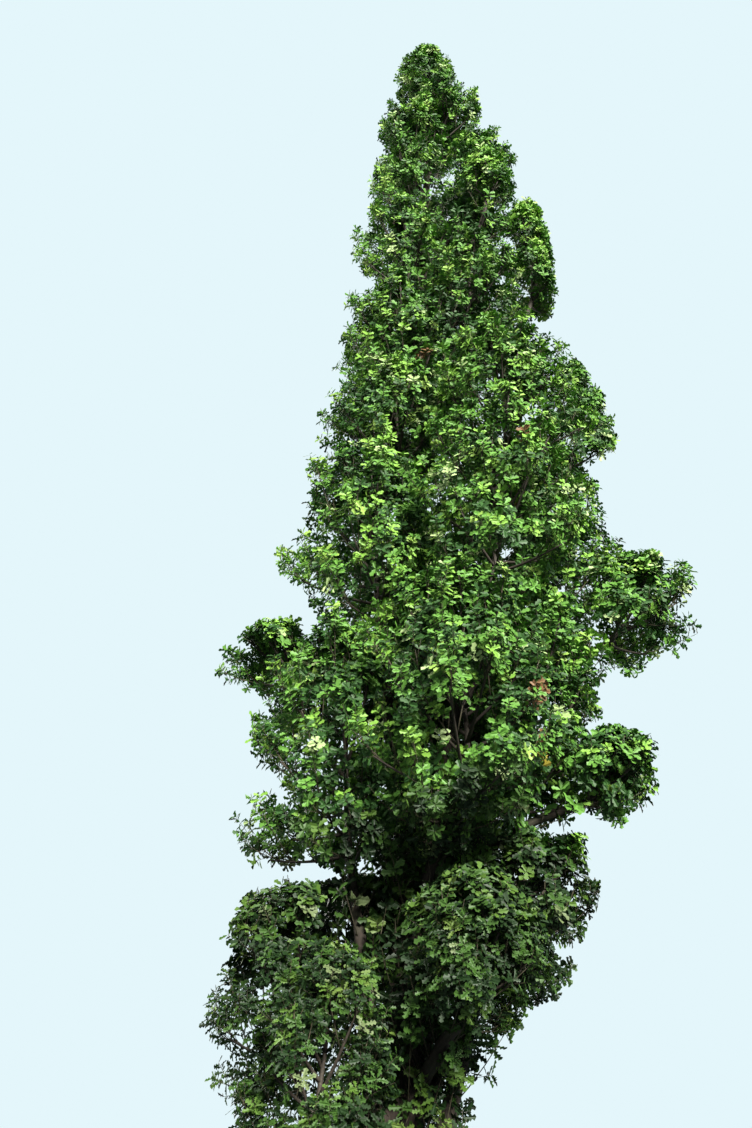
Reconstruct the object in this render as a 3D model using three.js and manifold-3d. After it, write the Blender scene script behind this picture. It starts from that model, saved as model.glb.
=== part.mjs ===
// Columnar english oak, 23 m tall: one trunk that runs up through the crown, steep boughs that leave it,
// and masses of foliage at the boughs' tips and round the trunk's upper part.
// Millimetres, +Z up. The origin is the centre of the flat cut under the trunk, at ground level.
// Azimuths are in degrees, from +X towards +Y, so 270 is the front of the tree.
import * as THREE from "three";
import { mergeVertices } from "three/addons/utils/BufferGeometryUtils.js";
import Module from "manifold-3d";

const wasm = await Module();
wasm.setup();

// Driving dimensions of the trunk.
const TRUNK_LENGTH = 21000; // from the ground cut to the face that carries the topmost shoots
const TRUNK_LEAN = 430; // how far the top stands to +X of the foot
const TRUNK_SWAY = 70; // depth of the slow bends on the way up
const SWAY_LENGTH = 6400;
const NOD_LENGTH = 8960; // of the bend from front to back
const RING_CROWDING = 1.6; // over 1, the trunk's rings stand closer together near the ground
const TRUNK_SIDES = 15;
const TRUNK_RINGS = 16;
const TRUNK_TOP_RADIUS = 38;
const TRUNK_TAPER = 125; // radius lost from the ground to the top, apart from fork and flare
const FORK_SWELL = 115; // extra radius below the lowest boughs
const FORK_FROM = 2000;
const FORK_TO = 4600;
const FLARE = 150; // extra radius of the root flare at the ground
const FLARE_HEIGHT = 420;
const BUTTRESSES = 5;
const BUTTRESS_DEPTH = 0.13; // share of the radius by which the flare is lobed

// Driving dimensions of the boughs.
const BOUGH_ROOT_SHARE = 0.42; // of the trunk's radius where the bough leaves it
const BOUGH_TIP_RADIUS = 40;
const BOUGH_TAPER = 0.8; // 1 would be an even taper; less loses more of the radius near the root
const BOUGH_SIDES = 6;
const BOUGH_RINGS = 5;
const BOUGH_STAGGER = 210; // each next bough of a tier leaves the trunk this much further down
const SHORT_BOUGH = 1200; // a bough that rises less than this arches over instead of slanting out
// The two bends of a bough, as shares of its reach outwards and of its rise.
const SLANT = { out: [0.28, 0.72], up: [0.36, 0.78] };
const ARCH = { out: [0.3, 0.6], up: [0.6, 0.9] };
const BOUGH_TIP_DROP = 0.7; // how far below the middle of its mass a bough ends, as a share of half height
const BOUGH_TIP_INWARD = 0.2; // and how far towards the trunk, as a share of the way there
const CLEAR_GAP = 0.3; // between a limb and what it carries
const LIMB_ROOM = 6; // foliage keeps this far off every limb

// Driving dimensions of the foliage.
const SPACE_ROOM = 20; // each mass keeps this far inside the faces that it shares with its neighbours
const CORE_SHARE = 0.56; // half width of the dense inner core, as a share of the mass's
const CORE_TALL_SHARE = 0.9; // half height of the core, as a share of the mass's
const FULLNESS = 2.7; // how full a mass is above and below its middle; 2 would be an ellipsoid
const REACH_SPARE = 1.1; // how much further than an ellipsoid of its size a mass may reach
const TAPER_UP = 0.16; // how much narrower a mass is at its top than at its middle
const SPIRE_TAPER_UP = 0.6; // and a pointed one
const CORE_SIDES = 6;
const CORE_RINGS = 5;
const CORE_LUMPS = 0.1; // how far a corner of the core stands in or out, as a share of its reach
const CORE_POLE_POWER = 3; // the higher, the closer to its ends the core has its full height
const BESIDE_TRUNK = 300; // a mass whose middle is further than this from the trunk stands beside it
const OFF_TRUNK = 150; // a mass whose middle is further than this from the bark keeps to its side
const STEM_FOOT_RADIUS = 37;
const STEM_HEAD_RADIUS = 18.5;
const STEM_HEAD_RISE = 0.34; // how far above the middle of its mass a stem ends, as a share of half height
const STEM_FOOT_DROP = 0.95; // how far below it a stem on the trunk begins
const STEM_FOOT_RUN = 0.35; // how far a stem keeps to its bough's heading, as a share of its length
const STEM_HEAD_RUN = 0.3; // and how far below its end it turns upright
const STEM_ASIDE_RISE = 0.4; // where a stem on the trunk turns aside, as a share of its length
const STEM_ASIDE_SHARE = 0.55; // and how far it then turns towards the middle of its mass
const STEM_SIDES = 4;
const STEM_RINGS = 3;
const TWIG_ROOT_RADIUS = 26;
const TWIG_TIP_RADIUS = 16;
const SPRAY_LENGTH = 780; // each blade stands for a spray of leaves
const FULL_SPRAYS_FROM = 860; // a mass with a smaller half width has smaller sprays
const SPRAY_WIDTH = 0.62; // of its length
const SPRAY_THICKNESS = 0.08; // of its length
const SPRAY_ROOT_SUNK = 0.14; // of its length
const SPRAY_SWELL = 0.08; // how far beyond its middle a spray is widest, as a share of its length
const SMALLEST_SPRAY = 0.5; // of the mass's usual length
const SPRAY_SHRINK = 0.86; // how much smaller each next try at fitting a spray is
const TWIGS = 5; // in each mass
const TWIG_SHARES = [0.45, 0.97]; // the part of the stem that bears twigs
const TWIG_SLOPES = [-0.25, 1.25]; // in radians, of the lowest and the highest twig
const TWIG_STEEPENING = 1.2; // over 1, the slopes grow slowly at first
const TWIG_ROOM_SHARE = 0.5; // a twig takes at least this share of the room ahead of it
const TWIG_SIDES = 3;
const SHORTEST_TWIG = 0.3; // of the mass's usual spray
// The sprays on a twig. A range is its lowest value and how much more it may be.
const TIP_SPRAY = [0.6, 1.2]; // the shortest and the longest at a twig's tip, of the mass's usual spray
const TIP_SPRAY_TURN = 1.2; // how far round from the twig a tip's blade faces, in radians
const SIDE_SPRAY_PLACE = [0.76, 0.12]; // range of its place along the twig
const SIDE_SPRAY_TURN = [0.9, 0.4]; // range of its turn away from the twig, in radians
const SIDE_SPRAY_RAISE = 0.8; // over how much its slope varies
const SIDE_SPRAY_LOWERED = 0.3; // and which share of that lies below the twig's slope
const SIDE_SPRAY_SIZE = [0.95, 0.25]; // range, of the mass's usual spray
const SIDE_SPRAY_LIFT = 0.6; // how far its blade faces up
// The sprays on a core, which point partly out of it and partly uphill along it.
const CORE_SPRAYS = 5; // at most, besides those on the twigs
const CORE_SPRAY_SIZE = [0.95, 0.3]; // range, of the mass's usual spray
const CORE_SPRAY_OUT = 0.6;
const CORE_SPRAY_UPHILL = 0.7;
const FLATTEST_HILL = 0.5; // a face that slopes less is taken as sloping this much
const FACING_TRUNK = -0.3; // a face turned further than this towards the trunk bears no spray
const GOLDEN_SHARE = (Math.sqrt(5) - 1) / 2;
const SPREAD = 4.2; // the arc, in radians, over which a mass beside the trunk spreads its twigs

// How closely shapes are worked out.
const MERGE_DISTANCE = 1e-3; // corners nearer than this are one
const HEADING_STEP = 5; // how far up and down the trunk its heading is taken
const ROOM_ACCURACY = 1; // of the room ahead of a point
const FAR_OUTSIDE = 2.5; // half diagonals of a mass, from anywhere inside it
const TRUNK_LEVELS = [-1, -0.5, 0, 0.5, 1]; // half heights of a mass, where the trunk beside it is measured

// Random numbers: each is the last one times a fixed factor, modulo a prime.
const FIRST_SEED = 3;
const SEED_SPACING = 7919;
const RANDOM_FACTOR = 16807;
const RANDOM_MODULUS = 2 ** 31 - 1;

// The crown's outline: at each height the place of its axis along X, and its radius.
const CROWN = [
  { height: 3300, axis: -420, radius: 1050 },
  { height: 4600, axis: -380, radius: 1250 },
  { height: 5700, axis: 80, radius: 1800 },
  { height: 7000, axis: 260, radius: 1900 },
  { height: 8900, axis: 520, radius: 2080 },
  { height: 10200, axis: 620, radius: 2040 },
  { height: 12000, axis: 640, radius: 1780 },
  { height: 13800, axis: 420, radius: 1380 },
  { height: 15600, axis: 520, radius: 1440 },
  { height: 17800, axis: 660, radius: 1360 },
  { height: 19400, axis: 380, radius: 980 },
  { height: 21500, axis: 350, radius: 580 },
  { height: 23100, axis: 380, radius: 220 },
];

// Each tier is a ring of masses round the axis. height is the middle of its first mass, climb how much
// higher each next one stands, from the azimuth of the first, step the turn to the next, wide the half
// width of a mass as a share of the crown's radius, and rise how far below the first mass its bough
// leaves the trunk. Masses with no rise grow on the trunk itself. tall is their half height where it
// isn't TIER_TALL.
const TIER_TALL = 1950;
const TIERS = [
  { name: "skirt", count: 3, height: 4150, climb: 650, from: 248, step: -66,
    wide: 0.56, rise: 1100, tall: 1150 },
  { name: "low", count: 3, height: 7090, climb: 40, from: 190, step: -105, wide: 0.55, rise: 2900 },
  { name: "waist", count: 4, height: 9500, climb: 60, from: 200, step: 90, wide: 0.54, rise: 2300 },
  { name: "middle", count: 3, height: 11350, climb: -150, from: 200, step: 106,
    wide: 0.56, rise: 2300, tall: 1600 },
  { name: "breast", count: 3, height: 13400, climb: 650, from: 195, step: 128, wide: 0.6 },
  { name: "shoulder", count: 3, height: 15400, climb: 650, from: 195, step: 130, wide: 0.6 },
  { name: "neck", count: 3, height: 16850, climb: 500, from: 315, step: -120, wide: 0.53, tall: 1850 },
  { name: "crest", count: 3, height: 19050, climb: 600, from: 195, step: 120, wide: 0.62, tall: 1950 },
  { name: "tip", count: 1, height: 21550, climb: 0, from: 0, step: 0, wide: 1.05, tall: 1500 },
];

// Masses that stand out of the column. out is measured from the axis to the middle of the mass, and
// wide, deep and tall are half sizes along X, Y and Z.
const OUTLIERS = [
  { name: "low_front", height: 7150, azimuth: 282, out: 960, wide: 1120, deep: 1120, tall: 1480, rise: 1150 },
  { name: "front_tuft", height: 4900, azimuth: 313, out: 1200, wide: 600, deep: 500, tall: 640, rise: 700 },
  { name: "right_skirt", height: 5950, azimuth: 14, out: 950, wide: 760, deep: 800, tall: 1000, rise: 1500 },
  { name: "right_tuft", height: 6750, azimuth: 348, out: 1620, wide: 560, deep: 480, tall: 420, rise: 1100 },
  { name: "left_arm", height: 8350, azimuth: 172, out: 1750, wide: 850, deep: 620, tall: 420, rise: 1050 },
  { name: "right_arm", height: 8750, azimuth: 354, out: 1840, wide: 920, deep: 660, tall: 660, rise: 1500 },
  { name: "right_spire", height: 12100, azimuth: 8, out: 1500, wide: 500, deep: 480, tall: 1600, rise: 2000 },
  { name: "side_spire", height: 16600, azimuth: 303, out: 920, wide: 420, deep: 450, tall: 2000, rise: 1500 },
  { name: "top_spire", height: 16100, azimuth: 2, out: 1120, wide: 450, deep: 500, tall: 3250, rise: 1900 },
];

const bark = new THREE.MeshStandardMaterial({ color: "#5d5044", roughness: 0.92, metalness: 0 });
const foliage = new THREE.MeshStandardMaterial({ color: "#4f7a2c", roughness: 0.6, metalness: 0 });

const UP = new THREE.Vector3(0, 0, 1);
const ALONG = new THREE.Vector3(0, 1, 0); // the axis of three.js cylinders
const vector = (x, y, z) => new THREE.Vector3(x, y, z);

// Numbers from 0 to 1 that are always the same for one seed.
function seeded(seed) {
  let state = SEED_SPACING * (seed + FIRST_SEED);
  return () => {
    state = (state * RANDOM_FACTOR) % RANDOM_MODULUS;
    return state / RANDOM_MODULUS;
  };
}

// A random value in a range that is given as its lowest value and how much more it may be.
function drawn([lowest, more], random) {
  return lowest + more * random();
}

function smoothstep(from, to, value) {
  const t = Math.min(Math.max((value - from) / (to - from), 0), 1);
  return t * t * (3 - 2 * t);
}

// A closed three.js geometry as a solid that can be joined and cut.
function solidOf(geometry) {
  const bare = geometry.clone();
  bare.deleteAttribute("normal");
  bare.deleteAttribute("uv");
  const merged = mergeVertices(bare, MERGE_DISTANCE);
  return new wasm.Manifold(
    new wasm.Mesh({
      numProp: 3,
      vertProperties: new Float32Array(merged.attributes.position.array),
      triVerts: new Uint32Array(merged.index.array),
    }),
  );
}

function meshOf(solid, name, material) {
  const { vertProperties, triVerts } = solid.getMesh();
  const geometry = new THREE.BufferGeometry();
  geometry.setAttribute("position", new THREE.BufferAttribute(new Float32Array(vertProperties), 3));
  geometry.setIndex(new THREE.BufferAttribute(new Uint32Array(triVerts), 1));
  geometry.computeVertexNormals();
  const mesh = new THREE.Mesh(geometry, material);
  mesh.name = name;
  return mesh;
}

// The largest body of a solid that a cut may have left in pieces.
function largest(solid) {
  return solid.decompose().reduce((best, piece) => (piece.volume() > best.volume() ? piece : best));
}

// A cylinder whose rings follow a curve. radiusAt gives the radius at a share of the length and an angle
// round the section.
function sweep(curve, radiusAt, sides, rings) {
  const geometry = new THREE.CylinderGeometry(1, 1, 1, sides, rings);
  const frames = curve.computeFrenetFrames(rings, false);
  const position = geometry.attributes.position;
  for (let i = 0; i < position.count; i++) {
    const share = position.getY(i) + 0.5;
    const ring = Math.round(share * rings);
    const across = position.getX(i);
    const over = position.getZ(i);
    const radius = radiusAt(share, Math.atan2(over, across));
    const place = curve
      .getPointAt(share)
      .addScaledVector(frames.normals[ring], across * radius)
      .addScaledVector(frames.binormals[ring], -over * radius);
    position.setXYZ(i, place.x, place.y, place.z);
  }
  return solidOf(geometry);
}

// The trunk's centre line at a height. It leaves the ground upright.
function trunkCentre(height) {
  const share = height / TRUNK_LENGTH;
  const sway = (1 - Math.cos((2 * Math.PI * height) / SWAY_LENGTH)) / 2;
  const nod = (1 - Math.cos((2 * Math.PI * height) / NOD_LENGTH)) / 2;
  return vector(TRUNK_LEAN * share * share - TRUNK_SWAY * sway, TRUNK_SWAY * nod, height);
}

// The trunk's radius at a height, and with an angle its buttresses too.
function trunkRadius(height, angle = 0) {
  const taper = TRUNK_TOP_RADIUS + TRUNK_TAPER * (1 - height / TRUNK_LENGTH);
  const fork = FORK_SWELL * (1 - smoothstep(FORK_FROM, FORK_TO, height));
  const near = Math.exp(-height / FLARE_HEIGHT);
  return (taper + fork + FLARE * near) * (1 + BUTTRESS_DEPTH * near * Math.cos(BUTTRESSES * angle));
}

function trunkHeading(height) {
  if (height === 0) return UP.clone();
  return trunkCentre(height + HEADING_STEP).sub(trunkCentre(height - HEADING_STEP)).normalize();
}

// How high a share of the way up the rings stands. They crowd towards the ground, where the flare turns.
function ringHeight(share) {
  return TRUNK_LENGTH * share ** RING_CROWDING;
}

class TrunkCurve extends THREE.Curve {
  getPoint(share) {
    return trunkCentre(ringHeight(share));
  }
  getPointAt(share) {
    return this.getPoint(share);
  }
  getTangentAt(share) {
    return trunkHeading(ringHeight(share));
  }
}

function trunkSolid(widen) {
  const radiusAt = (share, angle) => trunkRadius(ringHeight(share), angle) + widen;
  return sweep(new TrunkCurve(), radiusAt, TRUNK_SIDES, TRUNK_RINGS);
}

// The crown's axis and radius at a height, between the rows of the outline.
function crownAt(height) {
  const above = CROWN.findIndex((row) => row.height >= height);
  const high = CROWN[Math.max(above < 0 ? CROWN.length - 1 : above, 1)];
  const low = CROWN[CROWN.indexOf(high) - 1];
  const t = smoothstep(low.height, high.height, height);
  return {
    axis: THREE.MathUtils.lerp(low.axis, high.axis, t),
    radius: THREE.MathUtils.lerp(low.radius, high.radius, t),
  };
}

function polar(radius, azimuth, height) {
  const angle = THREE.MathUtils.degToRad(azimuth);
  return vector(crownAt(height).axis + radius * Math.cos(angle), radius * Math.sin(angle), height);
}

// Every mass with its middle, half sizes, bough and seed, from the two lists above.
function layOutMasses() {
  const masses = [];
  for (const tier of TIERS)
    for (let k = 0; k < tier.count; k++) {
      const azimuth = tier.from + k * tier.step;
      const height = tier.height + k * tier.climb;
      const { radius } = crownAt(height);
      const wide = radius * tier.wide;
      masses.push({
        name: tier.count === 1 ? tier.name : `${tier.name}_${k + 1}`,
        centre: polar(radius - wide, azimuth, height),
        size: vector(wide, wide, tier.tall ?? TIER_TALL),
        rise: tier.rise ? tier.rise + k * BOUGH_STAGGER : 0,
      });
    }
  for (const outlier of OUTLIERS)
    masses.push({
      name: outlier.name,
      centre: polar(outlier.out, outlier.azimuth, outlier.height),
      size: vector(outlier.wide, outlier.deep, outlier.tall),
      rise: outlier.rise,
    });
  masses.forEach((mass, i) => {
    mass.seed = i;
    mass.taper = /^tip$|spire$/.test(mass.name) ? SPIRE_TAPER_UP : TAPER_UP;
    mass.spray = SPRAY_LENGTH * Math.min(1, mass.size.x / FULL_SPRAYS_FROM);
    const off = mass.centre.clone().sub(trunkCentre(mass.centre.z));
    mass.outward = Math.atan2(off.y, off.x);
    mass.spread = Math.hypot(off.x, off.y) > BESIDE_TRUNK ? SPREAD : 2 * Math.PI;
  });
  return masses;
}

// The half width of a mass, as a share of its widest, at a height from -1 at its foot to 1 at its top.
function girth(height, taper) {
  const level = Math.min(Math.abs(height), 1);
  return Math.sqrt(1 - level ** FULLNESS) * (1 - taper * Math.max(height, 0));
}

// How far a mass reaches along a direction from its middle, rather too far than too little.
function support(size, direction) {
  return REACH_SPARE * Math.hypot(size.x * direction.x, size.y * direction.y, size.z * direction.z);
}

// Two masses that would meet share a flat face between them, nearer to the smaller one.
function shareSpace(masses) {
  for (const mass of masses) mass.faces = [];
  masses.forEach((a, i) =>
    masses.slice(i + 1).forEach((b) => {
      const between = b.centre.clone().sub(a.centre);
      const distance = between.length();
      const towards = between.divideScalar(distance);
      const mine = support(a.size, towards);
      const other = support(b.size, towards);
      if (mine + other < distance) return;
      const middle = a.centre.clone().addScaledVector(towards, (distance * mine) / (mine + other));
      a.faces.push({ normal: towards.clone(), offset: towards.dot(middle) - SPACE_ROOM });
      b.faces.push({ normal: towards.clone().negate(), offset: -towards.dot(middle) - SPACE_ROOM });
    }),
  );
}

// A mass beside the trunk keeps to its own side of it.
function keepOffTrunk(mass) {
  const near = trunkCentre(mass.centre.z);
  const inward = near.clone().sub(mass.centre).setZ(0);
  if (inward.length() < trunkRadius(near.z) + OFF_TRUNK) return;
  inward.normalize();
  const reaches = TRUNK_LEVELS.map((level) => {
    const height = Math.min(mass.centre.z + level * mass.size.z, TRUNK_LENGTH);
    return inward.dot(trunkCentre(height)) - trunkRadius(height);
  });
  mass.faces.push({ normal: inward, offset: Math.min(...reaches) - LIMB_ROOM });
}

function holds(mass, point) {
  const off = point.clone().sub(mass.centre).divide(mass.size);
  if (Math.abs(off.z) > 1 || Math.hypot(off.x, off.y) > girth(off.z, mass.taper)) return false;
  return mass.faces.every((face) => face.normal.dot(point) <= face.offset);
}

// The distance from a point inside a mass to the edge of its space along a direction, by halving.
function roomAlong(mass, from, direction) {
  let inside = 0;
  let outside = FAR_OUTSIDE * mass.size.length();
  while (outside - inside > ROOM_ACCURACY) {
    const middle = (inside + outside) / 2;
    if (holds(mass, from.clone().addScaledVector(direction, middle))) inside = middle;
    else outside = middle;
  }
  return inside;
}

// Where a mass's own stem begins: the tip of its bough, or the trunk's centre line where it has none.
function footOf(mass) {
  if (mass.name === "tip") return trunkCentre(TRUNK_LENGTH);
  if (!mass.rise) return trunkCentre(mass.centre.z - STEM_FOOT_DROP * mass.size.z);
  const low = mass.centre.clone();
  low.z -= BOUGH_TIP_DROP * mass.size.z;
  const inward = trunkCentre(low.z).sub(low).setZ(0).multiplyScalar(BOUGH_TIP_INWARD);
  return low.add(inward);
}

// A bough leaves the trunk's centre line close beside it and slants outwards towards its tip. A short one
// rises first and then arches over.
function boughCurve(mass) {
  const tip = footOf(mass);
  const root = trunkCentre(tip.z - mass.rise);
  const out = tip.clone().sub(root).setZ(0);
  const bends = mass.rise < SHORT_BOUGH ? ARCH : SLANT;
  const [first, second] = [0, 1].map((k) => {
    const bend = root.clone().addScaledVector(out, bends.out[k]);
    return bend.addScaledVector(UP, mass.rise * bends.up[k]);
  });
  return new THREE.CubicBezierCurve3(root, first, second, tip);
}

function boughSolid(mass, widen) {
  const curve = boughCurve(mass);
  const root = trunkRadius(curve.v0.z) * BOUGH_ROOT_SHARE;
  const radiusAt = (share) => root + (BOUGH_TIP_RADIUS - root) * share ** BOUGH_TAPER + widen;
  return sweep(curve, radiusAt, BOUGH_SIDES, BOUGH_RINGS);
}

// The end of a limb carried on past its tip, so that nothing lies right against its end face.
function beyondTip(curve, radius, sides) {
  const end = curve.getTangentAt(1);
  const from = curve.getPointAt(1).addScaledVector(end, -LIMB_ROOM);
  return prism(from, end, 2 * LIMB_ROOM, radius, radius, sides);
}

function boughRoom(mass) {
  const end = beyondTip(boughCurve(mass), BOUGH_TIP_RADIUS + LIMB_ROOM, BOUGH_SIDES);
  return boughSolid(mass, LIMB_ROOM).add(end);
}

function stemRoom(mass) {
  const end = beyondTip(stemCurve(mass), STEM_HEAD_RADIUS + LIMB_ROOM, STEM_SIDES);
  return stemSolid(mass, LIMB_ROOM).add(end);
}

// A straight tapering stick from a point along a direction.
function prism(from, direction, length, rootRadius, tipRadius, sides) {
  const geometry = new THREE.CylinderGeometry(tipRadius, rootRadius, length, sides, 1);
  geometry.translate(0, length / 2, 0);
  geometry.applyQuaternion(new THREE.Quaternion().setFromUnitVectors(ALONG, direction));
  geometry.translate(from.x, from.y, from.z);
  return solidOf(geometry);
}

// The stem of a mass, from just above its bough's tip, or from the trunk's centre line, up through it.
function stemCurve(mass) {
  const topmost = mass.name === "tip";
  let set = UP.clone();
  if (mass.rise) set = boughCurve(mass).getTangentAt(1);
  if (topmost) set = trunkHeading(TRUNK_LENGTH);
  const foot = footOf(mass);
  if (mass.rise || topmost) foot.addScaledVector(set, CLEAR_GAP);
  const head = mass.centre.clone();
  head.z += STEM_HEAD_RISE * mass.size.z;
  const length = head.distanceTo(foot);
  const first = foot.clone().addScaledVector(set, length * STEM_FOOT_RUN);
  if (!mass.rise && !topmost) {
    const aside = mass.centre.clone().setZ(foot.z + STEM_ASIDE_RISE * length);
    first.lerp(aside, STEM_ASIDE_SHARE);
  }
  const second = head.clone().addScaledVector(UP, -length * STEM_HEAD_RUN);
  return new THREE.CubicBezierCurve3(foot, first, second, head);
}

function stemSolid(mass, widen) {
  const radiusAt = (share) => THREE.MathUtils.lerp(STEM_FOOT_RADIUS, STEM_HEAD_RADIUS, share) + widen;
  return sweep(stemCurve(mass), radiusAt, STEM_SIDES, STEM_RINGS);
}

// The dense core: a lumpy, upright ball inside the mass's space.
function coreGeometry(mass, random) {
  const sphere = new THREE.SphereGeometry(1, CORE_SIDES, CORE_RINGS, random() * Math.PI);
  sphere.rotateX(Math.PI / 2);
  sphere.deleteAttribute("normal");
  sphere.deleteAttribute("uv");
  const ball = mergeVertices(sphere, MERGE_DISTANCE);
  const position = ball.attributes.position;
  for (let i = 0; i < position.count; i++) {
    const level = Math.abs(position.getZ(i));
    const direction = vector().fromBufferAttribute(position, i).multiply(mass.size).normalize();
    const lump = 1 + CORE_LUMPS * (2 * random() - 1);
    const share = THREE.MathUtils.lerp(CORE_SHARE, CORE_TALL_SHARE, level ** CORE_POLE_POWER) * lump;
    const reach = roomAlong(mass, mass.centre, direction) * share;
    const place = mass.centre.clone().addScaledVector(direction, reach);
    position.setXYZ(i, place.x, place.y, place.z);
  }
  return ball;
}

// The middle and the normal of every face of the core, in a seeded order.
function sitesOn(ball, random) {
  const sites = [];
  const corner = (i) => vector().fromBufferAttribute(ball.attributes.position, ball.index.getX(i));
  for (let i = 0; i < ball.index.count; i += 3) {
    const [a, b, c] = [corner(i), corner(i + 1), corner(i + 2)];
    const face = new THREE.Triangle(a, b, c);
    sites.push({ place: face.getMidpoint(vector()), normal: face.getNormal(vector()), order: random() });
  }
  return sites.sort((one, other) => one.order - other.order);
}

// One blade: a flat double pyramid, widest beyond its middle, that stands for a spray of leaves.
function spraySolid(root, direction, facing, length) {
  const side = direction.clone().cross(facing).normalize();
  const face = side.clone().cross(direction).normalize();
  const geometry = new THREE.OctahedronGeometry(1, 0);
  const position = geometry.attributes.position;
  for (let i = 0; i < position.count; i++) {
    const middle = 1 - Math.abs(position.getY(i));
    const place = root
      .clone()
      .addScaledVector(direction, length * (0.5 + 0.5 * position.getY(i) + SPRAY_SWELL * middle))
      .addScaledVector(side, 0.5 * SPRAY_WIDTH * length * position.getX(i))
      .addScaledVector(face, 0.5 * SPRAY_THICKNESS * length * position.getZ(i));
    position.setXYZ(i, place.x, place.y, place.z);
  }
  return { solid: solidOf(geometry), corners: position };
}

function clearOf(solid, limbs) {
  return limbs.every((limb) => solid.intersect(limb).isEmpty());
}

function spaceHolds(mass, corners) {
  for (let i = 0; i < corners.count; i++)
    if (!holds(mass, vector().fromBufferAttribute(corners, i))) return false;
  return true;
}

// A spray that fits the mass's space and touches no limb, made smaller until it does, or null.
function fittingSpray(mass, root, direction, facing, length, limbs) {
  for (let size = length; size > SMALLEST_SPRAY * mass.spray; size *= SPRAY_SHRINK) {
    const start = root.clone().addScaledVector(direction, -SPRAY_ROOT_SUNK * size);
    const spray = spraySolid(start, direction, facing, size);
    if (spaceHolds(mass, spray.corners) && clearOf(spray.solid, limbs)) return spray.solid;
  }
  return null;
}

// A direction at an azimuth and a slope, both in radians.
function heading(azimuth, slope) {
  return vector(Math.cos(azimuth) * Math.cos(slope), Math.sin(azimuth) * Math.cos(slope), Math.sin(slope));
}

// The twigs leave the stem one golden share of their spread apart, each steeper than the last.
function growTwigs(mass, random) {
  const stem = stemCurve(mass);
  const turn = random();
  const twigs = [];
  for (let k = 0; k < TWIGS; k++) {
    const share = (k + 0.5) / TWIGS;
    const from = stem.getPointAt(THREE.MathUtils.lerp(...TWIG_SHARES, share));
    const azimuth = mass.outward + (((turn + k * GOLDEN_SHARE) % 1) - 0.5) * mass.spread;
    const slope = THREE.MathUtils.lerp(...TWIG_SLOPES, share ** TWIG_STEEPENING);
    const direction = heading(azimuth, slope);
    const room = roomAlong(mass, from, direction);
    const length = Math.max(room - mass.spray, TWIG_ROOM_SHARE * room);
    twigs.push({ from, azimuth, slope, direction, length, room });
  }
  return twigs;
}

// A twig carries a spray at its tip, which fills the room beyond it, and one to each side.
function addTwigSprays(mass, twig, random, addSpray) {
  const outward = twig.direction.clone().add(vector(0, 0, SIDE_SPRAY_LIFT)).normalize();
  const tip = twig.from.clone().addScaledVector(twig.direction, twig.length);
  const beyond = (twig.room - twig.length) / (1 - SPRAY_ROOT_SUNK);
  const [shortest, longest] = TIP_SPRAY.map((share) => share * mass.spray);
  const tipLength = Math.max(Math.min(longest, beyond), shortest);
  addSpray(tip, twig.direction, heading(twig.azimuth + TIP_SPRAY_TURN, random()), tipLength);
  for (const side of [-1, 1]) {
    const place = twig.length * drawn(SIDE_SPRAY_PLACE, random);
    const root = twig.from.clone().addScaledVector(twig.direction, place);
    const turned = twig.azimuth + side * drawn(SIDE_SPRAY_TURN, random);
    const raised = twig.slope + SIDE_SPRAY_RAISE * (random() - SIDE_SPRAY_LOWERED);
    addSpray(root, heading(turned, raised), outward, mass.spray * drawn(SIDE_SPRAY_SIZE, random));
  }
}

// A few more sprays stand out of the core, on the side away from the trunk where the mass stands beside it.
function addCoreSprays(mass, ball, random, addSpray) {
  let placed = 0;
  const outward = heading(mass.outward, 0);
  for (const { place, normal } of sitesOn(ball, random)) {
    if (mass.spread === SPREAD && normal.dot(outward) < FACING_TRUNK) continue;
    const uphill = UP.clone().addScaledVector(normal, -normal.z);
    const climb = CORE_SPRAY_UPHILL / Math.max(uphill.length(), FLATTEST_HILL);
    const out = normal.clone().multiplyScalar(CORE_SPRAY_OUT);
    const direction = out.addScaledVector(uphill, climb).normalize();
    if (addSpray(place, direction, normal, mass.spray * drawn(CORE_SPRAY_SIZE, random))) placed += 1;
    if (placed === CORE_SPRAYS) break;
  }
}

// The rule of growth: core, stem, twigs and sprays, joined. A twig or spray that would leave the space,
// or touch a limb or another spray, is left out.
function massSolid(mass, limbs) {
  const random = seeded(mass.seed);
  const ball = coreGeometry(mass, random);
  const core = limbs.reduce((rest, limb) => rest.subtract(limb), solidOf(ball));
  const sticks = [];
  const sprays = [];
  const addSpray = (root, direction, facing, length) => {
    const spray = fittingSpray(mass, root, direction, facing, length, [...limbs, ...sprays]);
    if (spray) sprays.push(spray);
    return spray;
  };
  for (const twig of growTwigs(mass, random)) {
    const radii = [TWIG_ROOT_RADIUS, TWIG_TIP_RADIUS];
    const stick = prism(twig.from, twig.direction, twig.length, ...radii, TWIG_SIDES);
    if (twig.length < SHORTEST_TWIG * mass.spray || !clearOf(stick, limbs)) continue;
    sticks.push(stick);
    addTwigSprays(mass, twig, random, addSpray);
  }
  addCoreSprays(mass, ball, random, addSpray);
  const stem = stemSolid(mass, 0);
  const ownStem = mass.rise || mass.name === "tip" ? stem : stem.subtract(trunkSolid(CLEAR_GAP));
  return largest(wasm.Manifold.union([ownStem, core, ...sticks, ...sprays]));
}

// Whether a limb's box reaches into a mass's box.
function passes(limb, mass) {
  const { min, max } = limb.boundingBox();
  return [0, 1, 2].every((axis) => {
    const middle = mass.centre.getComponent(axis);
    const half = mass.size.getComponent(axis);
    return min[axis] < middle + half && max[axis] > middle - half;
  });
}

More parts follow.
